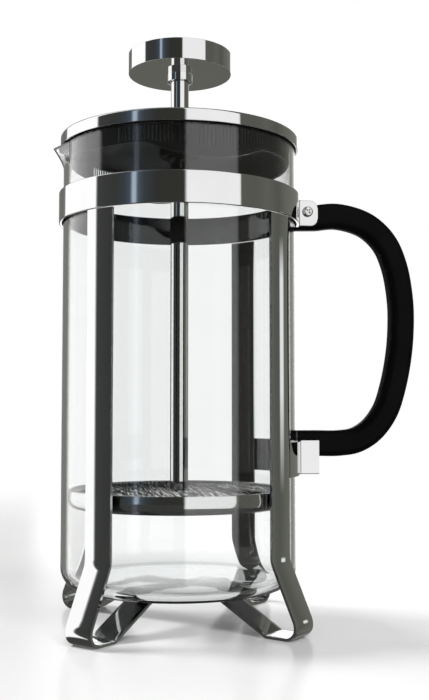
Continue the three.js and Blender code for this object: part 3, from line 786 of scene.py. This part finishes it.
def noise(tree, scale, detail=3.0, stretch=1.0):
    """Noise over the piece's own coordinates, drawn out along Y where stretch is under 1."""
    coords = tree.nodes.new("ShaderNodeTexCoord")
    mapping = tree.nodes.new("ShaderNodeMapping")
    mapping.inputs["Scale"].default_value = (1, stretch, 1)
    texture = tree.nodes.new("ShaderNodeTexNoise")
    texture.inputs["Scale"].default_value = scale
    texture.inputs["Detail"].default_value = detail
    tree.links.new(coords.outputs["Object"], mapping.inputs["Vector"])
    tree.links.new(mapping.outputs["Vector"], texture.inputs["Vector"])
    return texture.outputs["Fac"]


def spread(tree, value, low, high):
    """Carries a noise value over to the range from low to high."""
    node = tree.nodes.new("ShaderNodeMapRange")
    node.inputs["From Min"].default_value = 0.3
    node.inputs["From Max"].default_value = 0.7
    node.inputs["To Min"].default_value = low
    node.inputs["To Max"].default_value = high
    tree.links.new(value, node.inputs["Value"])
    return node.outputs["Result"]


def between(tree, value, low, high, start=0.3, end=0.7):
    """Colour between two colours by a noise value."""
    ramp = tree.nodes.new("ShaderNodeValToRGB")
    ramp.color_ramp.elements[0].position = start
    ramp.color_ramp.elements[0].color = (*low, 1)
    ramp.color_ramp.elements[1].position = end
    ramp.color_ramp.elements[1].color = (*high, 1)
    tree.links.new(value, ramp.inputs["Fac"])
    return ramp.outputs["Color"]


def relief(tree, shader, value, depth, strength):
    bump = tree.nodes.new("ShaderNodeBump")
    bump.inputs["Distance"].default_value = depth
    bump.inputs["Strength"].default_value = strength
    tree.links.new(value, bump.inputs["Height"])
    tree.links.new(bump.outputs["Normal"], shader.inputs["Normal"])


def metal(name, low, high, rough, grain, depth, strength=0.12):
    material, tree, shader = new_material(name)
    shader.inputs["Metallic"].default_value = 1.0
    cloud = noise(tree, 45, 4)
    fine = noise(tree, grain, 2)
    tree.links.new(between(tree, cloud, low, high), shader.inputs["Base Color"])
    tree.links.new(spread(tree, fine, *rough), shader.inputs["Roughness"])
    relief(tree, shader, fine, depth, strength)
    return material


def wire_cloth():
    """Woven wire coloured with painted light: a near-black base for painted shade and short bright
    strokes for painted glints.
    """
    material, tree, shader = new_material("steel_woven_painted_glints")
    shader.inputs["Metallic"].default_value = 1.0
    # The stretched noise paints the glints: bright strokes in the base colour stand in for
    # highlights.
    painted_glint = noise(tree, 2600, 2, 0.03)
    fine = noise(tree, 2200, 2)
    colour = between(tree, painted_glint, (0.03, 0.03, 0.03), (0.95, 0.95, 0.94), 0.47, 0.62)
    tree.links.new(colour, shader.inputs["Base Color"])
    tree.links.new(spread(tree, fine, 0.1, 0.3), shader.inputs["Roughness"])
    relief(tree, shader, fine, 0.00005, 0.4)
    return material


def plastic(name, low, high, rough, grain, depth, strength, gloss):
    material, tree, shader = new_material(name)
    shader.inputs["Specular IOR Level"].default_value = gloss
    fine = noise(tree, grain, 3)
    cloud = noise(tree, 60, 3)
    tree.links.new(between(tree, cloud, low, high), shader.inputs["Base Color"])
    tree.links.new(spread(tree, cloud, *rough), shader.inputs["Roughness"])
    relief(tree, shader, fine, depth, strength)
    return material


def glass_material(name, low, high):
    material, tree, shader = new_material(name)
    shader.inputs["Transmission Weight"].default_value = 1.0
    shader.inputs["IOR"].default_value = 1.5
    cloud = noise(tree, 30, 2)
    tree.links.new(between(tree, cloud, low, high), shader.inputs["Base Color"])
    tree.links.new(spread(tree, cloud, 0.0, 0.004), shader.inputs["Roughness"])
    relief(tree, shader, cloud, 0.000001, 0.02)
    return material


CHROME = metal("chrome", (0.6, 0.605, 0.6), (0.64, 0.645, 0.64), (0.02, 0.05), 900, 0.000002)
# Brighter chrome, given only to the knob's downward faces: a painted reflection, the same chrome
# made lighter where it faces down.
CHROME_PAINTED_BRIGHT = metal(
    "chrome_painted_bright", (0.9, 0.9, 0.9), (0.94, 0.94, 0.94), (0.0, 0.03), 900, 0.000002,
)
STEEL = metal("steel_wire", (0.5, 0.505, 0.5), (0.62, 0.62, 0.61), (0.12, 0.24), 700, 0.00001)
WOVEN_STEEL = wire_cloth()
# Near-black steel for the bush's lower end and its nut: painted shade, standing in for the shade
# under the lid.
STEEL_PAINTED_SHADE = plastic(
    "steel_painted_shade", (0.006, 0.006, 0.006), (0.01, 0.01, 0.01), (0.4, 0.5),
    grain=800, depth=0.00001, strength=0.12, gloss=0.01,
)
SCREW_STEEL = metal(
    "steel_screw", (0.55, 0.55, 0.54), (0.66, 0.66, 0.65), (0.16, 0.3), 1200, 0.00001,
)
HANDLE_BLACK = plastic(
    "handle_black", (0.002, 0.002, 0.002), (0.004, 0.004, 0.004), (0.36, 0.46),
    grain=1500, depth=0.00004, strength=0.25, gloss=0.035,
)
STRAINER_BLACK = plastic(
    "strainer_black", (0.006, 0.006, 0.006), (0.009, 0.009, 0.009), (0.16, 0.26),
    grain=900, depth=0.00001, strength=0.15, gloss=0.01,
)
GLASS = glass_material("beaker_glass", (0.955, 0.965, 0.962), (0.97, 0.978, 0.975))
# Darker glass for the beaker's foot: painted shade, standing in for the darker floor and strips
# seen through the base.
GLASS_PAINTED_SHADE = glass_material("beaker_foot_painted_shade", (0.74, 0.76, 0.768), (0.8, 0.82, 0.828))

# ---- pieces -----------------------------------------------------------------------------------
PIECES = [
    ("band", band_shape(), "frame", "frame_band", "chrome_frame", CHROME),
    (
        "leg_pair_upper", leg_pair_shape(-LEG_ANGLE, UPPER_CROSSING_Z),
        "frame", "leg_strip_upper", "chrome_frame", CHROME,
    ),
    (
        "leg_pair_lower", leg_pair_shape(LEG_ANGLE, LOWER_CROSSING_Z),
        "frame", "leg_strip_lower", "chrome_frame", CHROME,
    ),
    ("crossing_rivet", rivet_shape(), "frame", "base_rivet", "chrome_frame", CHROME),
    ("strap_near", strap_shape(-1), "frame", "lower_strap_near", "chrome_frame", CHROME),
    ("strap_far", strap_shape(1), "frame", "lower_strap_far", "chrome_frame", CHROME),
    ("grip", handle_shape(), "frame", "handle", "black_handle", HANDLE_BLACK),
    ("screw", screw_shape(), "frame", "handle_screw", "screw_steel", SCREW_STEEL),
    ("beaker", beaker_shape(), "beaker", "glass_beaker", "clear_glass", GLASS),
    ("lid", lid_shape(), "lid", "lid_cover", "chrome_lid", CHROME),
    ("bush", bush_shape(), "lid_bush", "lid_bush", "chrome_lid", CHROME),
    ("bush_nut", bush_nut_shape(), "lid_bush", "lid_bush_nut", "chrome_lid", STEEL_PAINTED_SHADE),
    ("rod", rod_shape(), "rod", "plunger_rod", "chrome_plunger", CHROME),
    ("knob_disc", knob_shape(), "plunger_ends", "knob", "chrome_plunger", CHROME),
    ("knob_locknut", collar_shape(), "plunger_ends", "knob_nut", "chrome_plunger", CHROME),
    ("pan", pan_shape(), "plunger_ends", "filter_pan", "filter_steel", CHROME),
    ("coil", coil_shape(), "plunger_ends", "filter_spring", "filter_steel", STEEL),
    ("weave", weave_shape(), "plunger_ends", "filter_mesh", "filter_steel", WOVEN_STEEL),
]


def nut_piece(name, node, body, bore, upright=True):
    low, high = extent(node)
    if upright:
        flats = (high.x - low.x) * math.cos(math.radians(30))
        flats = min(flats, high.y - low.y)
        shape = nut_shape(flats, low.z, high.z, bore)
    else:
        flats = min(high.z - low.z, high.x - low.x)
        shape = along_y(nut_shape(flats, low.y, high.y, bore))
    obj = mesh_object(name, shape)
    finish_piece(obj, body, node, SCREW_STEEL if not upright else CHROME)


made = {}
for name, shape, body, node, slot, material in PIECES:
    obj = mesh_object(name, shape)
    made[name] = obj
    if name == "screw":
        cut(obj, mesh_object("cut_a", recess_shape(45)), mesh_object("cut_b", recess_shape(135)))
    if name == "pan":
        cut(obj, mesh_object("cut_holes", pan_holes()))
    finish_piece(obj, body, node, material)

nut_piece("screw_nut", "handle_nut", "frame", SCREW_R + GAP, upright=False)
nut_piece("filter_locknut", "filter_nut", "plunger_ends", ROD_THREAD_R + GAP)

skirt = mesh_object("strainer", spun(skirt_shape(), LID_TURN))
finish_piece(skirt, "lid", "lid_strainer", STRAINER_BLACK)
flange = mesh_object("strainer_flange", flange_shape())
finish_piece(flange, "lid", "lid_strainer", STRAINER_BLACK)

for node in ("filter_hub", "filter_plate"):
    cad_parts[node].data.materials.clear()
    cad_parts[node].data.materials.append(STEEL)

FACING_DOWN = -0.9  # a face whose normal's Z is under this looks down
FOOT_MARGIN = 0.2  # the glass's foot ends this far above its floor


def second_material(obj, material, belongs):
    """Gives the faces that belong() holds for a second material."""
    obj.data.materials.append(material)
    for polygon in obj.data.polygons:
        if belongs(polygon):
            polygon.material_index = 1


# Second materials paint light: the bush's threaded lower end is painted near-black as painted
# shade, the knob's underside gets brighter chrome as a painted reflection, and the beaker's foot
# darker glass as painted shade.
second_material(made["bush"], STEEL_PAINTED_SHADE, lambda face: face.center.z < FLANGE_Z * MM)
second_material(made["knob_disc"], CHROME_PAINTED_BRIGHT, lambda face: face.normal.z < FACING_DOWN)
foot_top = (BEAKER_Z + GLASS_FLOOR + FOOT_MARGIN) * MM
second_material(made["beaker"], GLASS_PAINTED_SHADE, lambda face: face.center.z < foot_top)

# The glass is left out of soft shadows, so that what it holds is lit as through clear air.
made["beaker"].visible_shadow = False
made["beaker"].visible_diffuse = False
# The knob is left out of reflections, so that the rod is bright right up to it.
made["knob_disc"].visible_glossy = False

# ---- studio -----------------------------------------------------------------------------------
VIEW_TURN = -7.3  # degrees from the studio's middle line to -Y
# Grey level of the room in a chromed surface, by degrees round the press; 0 is the camera.
ROOM = [
    (-180, 252, 252, 252), (-173, 252, 252, 252), (-171.5, 130, 130, 128), (-160, 98, 98, 95),
    (-145, 98, 98, 95), (-137, 116, 116, 112), (-135.5, 253, 253, 253), (-84.3, 253, 253, 253),
    (-82.5, 60, 61, 60), (-70, 54, 55, 54), (-60, 52, 54, 54), (-52, 54, 60, 66),
    (-45.5, 66, 77, 91), (-44, 158, 170, 184), (-41, 158, 170, 184), (-39, 72, 82, 95),
    (-33, 56, 60, 64), (-22, 47, 48, 46), (3, 48, 48, 44), (5.2, 56, 56, 52),
    (6.2, 233, 233, 233), (57.5, 233, 233, 233), (59, 86, 86, 80), (75, 84, 84, 79),
    (90, 90, 91, 86), (106, 80, 81, 76), (118, 93, 94, 88), (148, 106, 106, 100),
    (155, 120, 120, 116), (165, 236, 236, 236),
    (172, 252, 252, 252), (180, 252, 252, 252),
]
CHROME_ALBEDO = 0.62
AMBIENT = 0.49
LAMP_SIDES = ((106.5, 108.5), (115.0, 112.5))  # degrees where the lamp starts and is full
LAMP_LIGHT = (1.15, 1.17, 1.17)
FRONT_LOW_DARK = (0.068, 0.07, 0.066)  # in front on the left, under the softbox
REAR_HIGH_DARK = (0.03, 0.03, 0.03)  # over the walls behind
CEILING_GREY = (0.4, 0.4, 0.4)
FLOOR_DARK = (0.07, 0.07, 0.066)
FLOOR_BEHIND = (0.118, 0.118, 0.106)
FLOOR_IN_GLASS = (0.85, 0.85, 0.85)  # what the glass mirrors on its inner side
DEEP_DARK = (0.02, 0.02, 0.02)
DEEP_BOUNCES = 7.5  # rays with more bounces than this lie between glass and chrome
MIRRORED = 0.5  # a ray with a glossy depth over this was mirrored


def linear(level):
    """Light that a grey level of 0 to 255 stands for."""
    c = level / 255
    return c / 12.92 if c <= 0.04045 else ((c + 0.055) / 1.055) ** 2.4


def room_ramp(tree, azimuth):
    ramp = tree.nodes.new("ShaderNodeValToRGB")
    elements = ramp.color_ramp.elements
    elements.remove(elements[1])
    for i, (degrees, *levels) in enumerate(ROOM):
        position = (degrees + 180) / 360
        stop = elements[0] if i == 0 else elements.new(position)
        stop.position = position
        stop.color = (*[linear(v) / CHROME_ALBEDO for v in levels], 1)
    tree.links.new(azimuth, ramp.inputs["Fac"])
    return ramp.outputs["Color"]


def maths(tree, operation, *values):
    node = tree.nodes.new("ShaderNodeMath")
    node.operation = operation
    for i, value in enumerate(values):
        if isinstance(value, (int, float)):
            node.inputs[i].default_value = value
        else:
            tree.links.new(value, node.inputs[i])
    return node.outputs["Value"]


def share(tree, value, start, end):
    """0 up to the start and 1 from the end on, with a straight rise between them."""
    node = tree.nodes.new("ShaderNodeMapRange")
    node.inputs["From Min"].default_value = start
    node.inputs["From Max"].default_value = end
    tree.links.new(value, node.inputs["Value"])
    return node.outputs["Result"]


def mixed(tree, part, first, second):
    node = tree.nodes.new("ShaderNodeMix")
    node.data_type = "RGBA"
    tree.links.new(part, node.inputs["Factor"])
    for socket, value in ((node.inputs[6], first), (node.inputs[7], second)):
        if isinstance(value, tuple):
            socket.default_value = (*value, 1)
        else:
            tree.links.new(value, socket)
    return node.outputs[2]


def studio():
    """White all round to the eye and to soft light; a room with two softboxes to a mirror."""
    world = bpy.data.worlds.new("studio")
    world.use_nodes = True
    world.cycles.sampling_method = "NONE"
    bpy.context.scene.world = world
    tree = world.node_tree
    background = tree.nodes["Background"]
    coords = tree.nodes.new("ShaderNodeTexCoord")
    mapping = tree.nodes.new("ShaderNodeMapping")
    mapping.vector_type = "POINT"
    mapping.inputs["Rotation"].default_value = (0, 0, math.radians(-VIEW_TURN))
    parts = tree.nodes.new("ShaderNodeSeparateXYZ")
    tree.links.new(coords.outputs["Generated"], mapping.inputs["Vector"])
    tree.links.new(mapping.outputs["Vector"], parts.inputs["Vector"])
    x, y, z = parts.outputs
    turn = maths(tree, "ARCTAN2", x, maths(tree, "MULTIPLY", y, -1))
    azimuth = maths(tree, "ADD", maths(tree, "DIVIDE", turn, 2 * math.pi), 0.5)
    walls = room_ramp(tree, azimuth)
    lamp = maths(tree, "MULTIPLY", share(tree, z, 0.17, 0.13), share(tree, z, -0.08, 0.02))
    for degrees, edge in LAMP_SIDES:
        side = share(tree, azimuth, (degrees + 180) / 360, (edge + 180) / 360)
        lamp = maths(tree, "MULTIPLY", lamp, side)
    behind = share(tree, y, 0.8, 0.9)
    sides = maths(tree, "ADD", share(tree, azimuth, 0.17, 0.13), share(tree, azimuth, 0.84, 0.86))
    upper = maths(tree, "MULTIPLY", share(tree, z, 0.5, 0.57), sides)
    plain = maths(tree, "MULTIPLY", share(tree, z, -0.1, -0.15), share(tree, azimuth, 0.28, 0.29))
    plain = maths(tree, "MULTIPLY", plain, share(tree, azimuth, 0.513, 0.51))
    ceiling = share(tree, z, 0.94, 0.99)
    floor_start = maths(tree, "MULTIPLY_ADD", behind, 0.3, -0.5)
    floor = share(tree, maths(tree, "SUBTRACT", z, floor_start), 0, -0.09)
    room = mixed(tree, lamp, walls, LAMP_LIGHT)
    room = mixed(tree, plain, room, FRONT_LOW_DARK)
    room = mixed(tree, upper, room, REAR_HIGH_DARK)
    room = mixed(tree, ceiling, room, CEILING_GREY)
    path = tree.nodes.new("ShaderNodeLightPath")
    through = path.outputs["Transmission Depth"]
    inside = maths(tree, "MULTIPLY", share(tree, through, 0.4, 0.6), share(tree, through, 3.6, 3.4))
    lower = mixed(tree, behind, FLOOR_DARK, FLOOR_BEHIND)
    lower = mixed(tree, inside, lower, FLOOR_IN_GLASS)
    room = mixed(tree, floor, room, lower)
    mirrored = maths(tree, "GREATER_THAN", path.outputs["Glossy Depth"], MIRRORED)
    deep = maths(tree, "GREATER_THAN", path.outputs["Ray Depth"], DEEP_BOUNCES)
    room = mixed(tree, deep, room, DEEP_DARK)
    seen = mixed(tree, mirrored, (1.0, 1.0, 1.0), room)
    soft = mixed(tree, path.outputs["Is Diffuse Ray"], seen, (AMBIENT, AMBIENT, AMBIENT))
    tree.links.new(soft, background.inputs["Color"])


def key_light(name, azimuth, elevation, strength, softness):
    """A wide soft light from far off; softness is its width in degrees."""
    light = bpy.data.lights.new(name, "SUN")
    light.energy = strength
    light.angle = math.radians(softness)
    obj = bpy.data.objects.new(name, light)
    a, e = math.radians(azimuth + VIEW_TURN), math.radians(elevation)
    back = Vector((math.sin(a) * math.cos(e), -math.cos(a) * math.cos(e), math.sin(e)))
    obj.rotation_euler = back.to_track_quat("Z", "Y").to_euler()
    for kind in ("visible_camera", "visible_glossy", "visible_transmission"):
        setattr(obj, kind, False)
    bpy.context.scene.collection.objects.link(obj)


FLOOR_FADE = (0.25, 0.75)  # metres out over which the floor turns to plain white


def floor():
    size = 6.0
    mesh = bpy.data.meshes.new("floor")
    corners = [(-size, -size, 0), (size, -size, 0), (size, size, 0), (-size, size, 0)]
    mesh.from_pydata(corners, [], [(0, 1, 2, 3)])
    obj = bpy.data.objects.new("floor", mesh)
    bpy.context.scene.collection.objects.link(obj)
    material, tree, shader = new_material("floor_white")
    cloud = noise(tree, 3, 2)
    colour = between(tree, cloud, (0.83, 0.83, 0.83), (0.85, 0.85, 0.85))
    tree.links.new(colour, shader.inputs["Base Color"])
    tree.links.new(spread(tree, cloud, 0.14, 0.2), shader.inputs["Roughness"])
    shader.inputs["Specular IOR Level"].default_value = 0.03
    coords = tree.nodes.new("ShaderNodeTexCoord")
    length = tree.nodes.new("ShaderNodeVectorMath")
    length.operation = "LENGTH"
    tree.links.new(coords.outputs["Object"], length.inputs[0])
    fade = tree.nodes.new("ShaderNodeMapRange")
    fade.interpolation_type = "SMOOTHSTEP"
    fade.inputs["From Min"].default_value, fade.inputs["From Max"].default_value = FLOOR_FADE
    tree.links.new(length.outputs["Value"], fade.inputs["Value"])
    glow = tree.nodes.new("ShaderNodeEmission")
    glow.inputs["Strength"].default_value = 1.0
    mix = tree.nodes.new("ShaderNodeMixShader")
    out = tree.nodes["Material Output"]
    tree.links.new(fade.outputs["Result"], mix.inputs["Fac"])
    tree.links.new(shader.outputs["BSDF"], mix.inputs[1])
    tree.links.new(glow.outputs["Emission"], mix.inputs[2])
    # A mirrored ray goes on through the floor to the studio's own lower half.
    path = tree.nodes.new("ShaderNodeLightPath")
    mirrored = maths(tree, "GREATER_THAN", path.outputs["Glossy Depth"], MIRRORED)
    clear = tree.nodes.new("ShaderNodeBsdfTransparent")
    either = tree.nodes.new("ShaderNodeMixShader")
    tree.links.new(mirrored, either.inputs["Fac"])
    tree.links.new(mix.outputs["Shader"], either.inputs[1])
    tree.links.new(clear.outputs["BSDF"], either.inputs[2])
    tree.links.new(either.outputs["Shader"], out.inputs["Surface"])
    obj.data.materials.append(material)
    obj.visible_glossy = False


studio()
floor()
key_light("light_front", 31, 50, 0.95, 30)
key_light("light_back", -114, 42, 2.2, 20)
bpy.context.scene.view_settings.view_transform = "Standard"

# ---- camera -----------------------------------------------------------------------------------
CAMERA_BACK = 421.1  # from the beaker's axis
CAMERA_Z = 85.5
CAMERA_YAW = math.degrees(0.03459)  # to the right of the axis
CAMERA_PITCH = math.degrees(0.05997)
CAMERA_LENS = 52.36


def camera():
    data = bpy.data.cameras.new("camera")
    data.lens = CAMERA_LENS
    data.sensor_width = 36
    obj = bpy.data.objects.new("camera", data)
    turn = Matrix.Rotation(math.radians(VIEW_TURN), 3, "Z")
    yaw, pitch = math.radians(CAMERA_YAW), math.radians(CAMERA_PITCH)
    level = math.cos(pitch)
    ahead = Vector((math.sin(yaw) * level, math.cos(yaw) * level, math.sin(pitch)))
    across = Vector((math.cos(yaw), -math.sin(yaw), 0))
    ahead, across = turn @ ahead, turn @ across
    up = across.cross(ahead)
    rotation = Matrix((across, up, -ahead)).transposed()
    stand = place(turn @ Vector((0, -CAMERA_BACK, CAMERA_Z)))
    obj.matrix_world = Matrix.Translation(stand) @ rotation.to_4x4()
    bpy.context.scene.collection.objects.link(obj)
    bpy.context.scene.camera = obj


camera()
